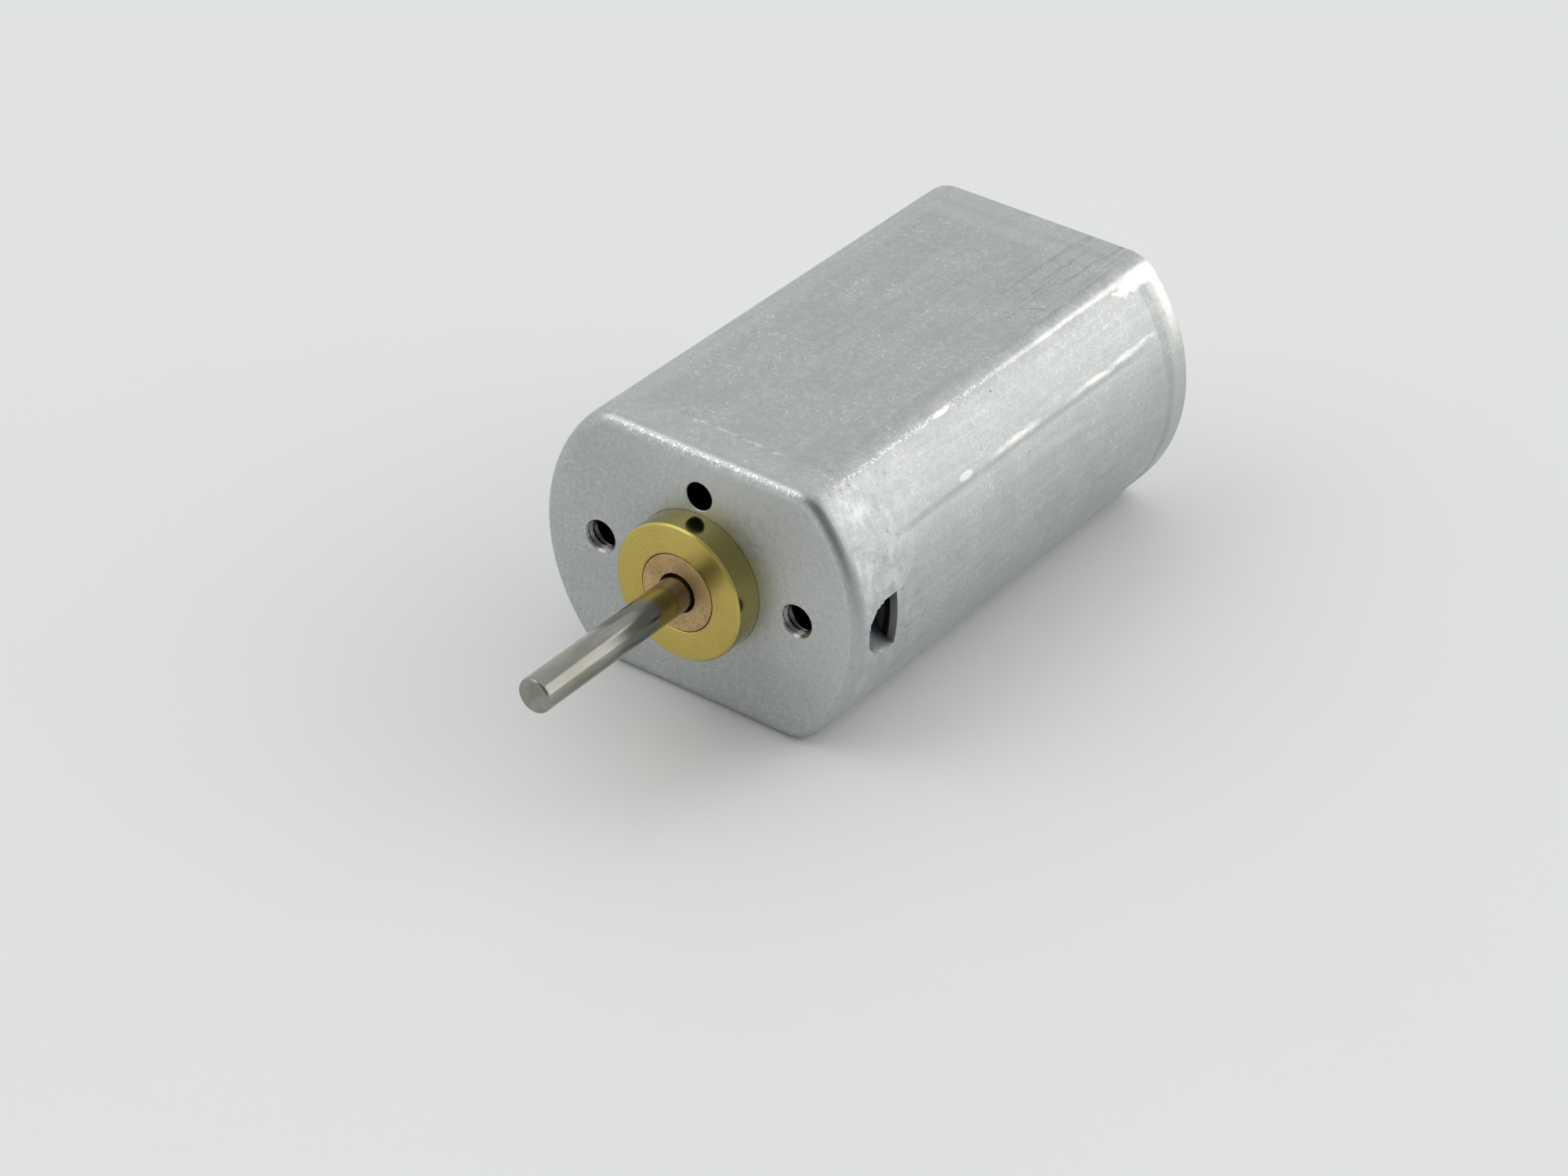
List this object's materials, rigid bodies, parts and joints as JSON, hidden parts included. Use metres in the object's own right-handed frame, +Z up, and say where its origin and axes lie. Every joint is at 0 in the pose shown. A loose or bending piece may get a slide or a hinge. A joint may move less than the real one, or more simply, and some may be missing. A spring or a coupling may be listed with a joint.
{
  "type": "electric motor",
  "caption": "Small brushed DC motor in a flat-sided steel can, with a plain front shaft, a brass locating boss, tapped front holes and rear solder terminals.",
  "frame": {"origin": "on the floor, under the middle of the motor's overall length from shaft tip to terminal tips, on its left-right centre plane", "axes": "+Z up, normal to the can's flats; the shaft lies along Y and points to -Y, with the terminals at +Y; +X to the right when the shaft points at the viewer's feet, seen from above"},
  "size_m": [0.0204, 0.049, 0.0153],
  "materials": {
    "zinc_plated_steel": "satin zinc plate",
    "brass": "turned",
    "sintered_bronze": "matte, porous",
    "ferrite": "matte",
    "spring_steel": "drawn wire",
    "nylon": "moulded",
    "nylon_natural": "moulded",
    "tinned_brass": "tinned",
    "phosphor_bronze": "rolled",
    "carbon": "pressed carbon",
    "ground_steel": "ground and polished",
    "fibre": "vulcanised fibre",
    "varistor_ceramic": "ceramic",
    "electrical_steel": "punched sheet",
    "enamelled_copper": "enamelled wire",
    "copper": "turned"
  },
  "bodies": {
    "housing": {"can": "zinc_plated_steel", "boss_ring": "brass", "front_bush": "sintered_bronze", "magnet_right": "ferrite", "magnet_left": "ferrite", "magnet_spring": "spring_steel", "end_cap": "nylon", "rear_bush": "sintered_bronze", "terminal_right": "tinned_brass", "terminal_left": "tinned_brass"},
    "rotor": {"shaft": "ground_steel", "front_thrust_washer": "fibre", "front_spacer": "nylon_natural", "front_insulator": "fibre", "lamination_stack": "electrical_steel", "rear_insulator": "fibre", "coil_a": "enamelled_copper", "coil_b": "enamelled_copper", "coil_c": "enamelled_copper", "varistor_disc": "varistor_ceramic", "commutator_hub": "nylon_natural", "commutator_segment_a": "copper", "commutator_segment_b": "copper", "commutator_segment_c": "copper", "commutator_ring": "fibre", "rear_spacer": "nylon_natural", "rear_thrust_washer": "fibre"},
    "brush_right": {"brush_arm_right": "phosphor_bronze", "carbon_brush_right": "carbon"},
    "brush_left": {"brush_arm_left": "phosphor_bronze", "carbon_brush_left": "carbon"}
  },
  "joints": [
    {"name": "rotor_spin", "type": "hinge", "parent": "housing", "child": "rotor", "pos_m": [0, 0, 0.00765], "axis": [0, 1, 0], "continuous": true},
    {"name": "brush_right_flex", "type": "hinge", "parent": "housing", "child": "brush_right", "pos_m": [0.00677, 0.01414, 0.01075], "axis": [0, -1, 0], "range_deg": [0, 5], "stiffness_Nm_per_rad": 0.005, "springref_deg": -8.59},
    {"name": "brush_left_flex", "type": "hinge", "parent": "housing", "child": "brush_left", "pos_m": [-0.00677, 0.01414, 0.00455], "axis": [0, -1, 0], "range_deg": [0, 5], "stiffness_Nm_per_rad": 0.005, "springref_deg": -8.59}
  ]
}
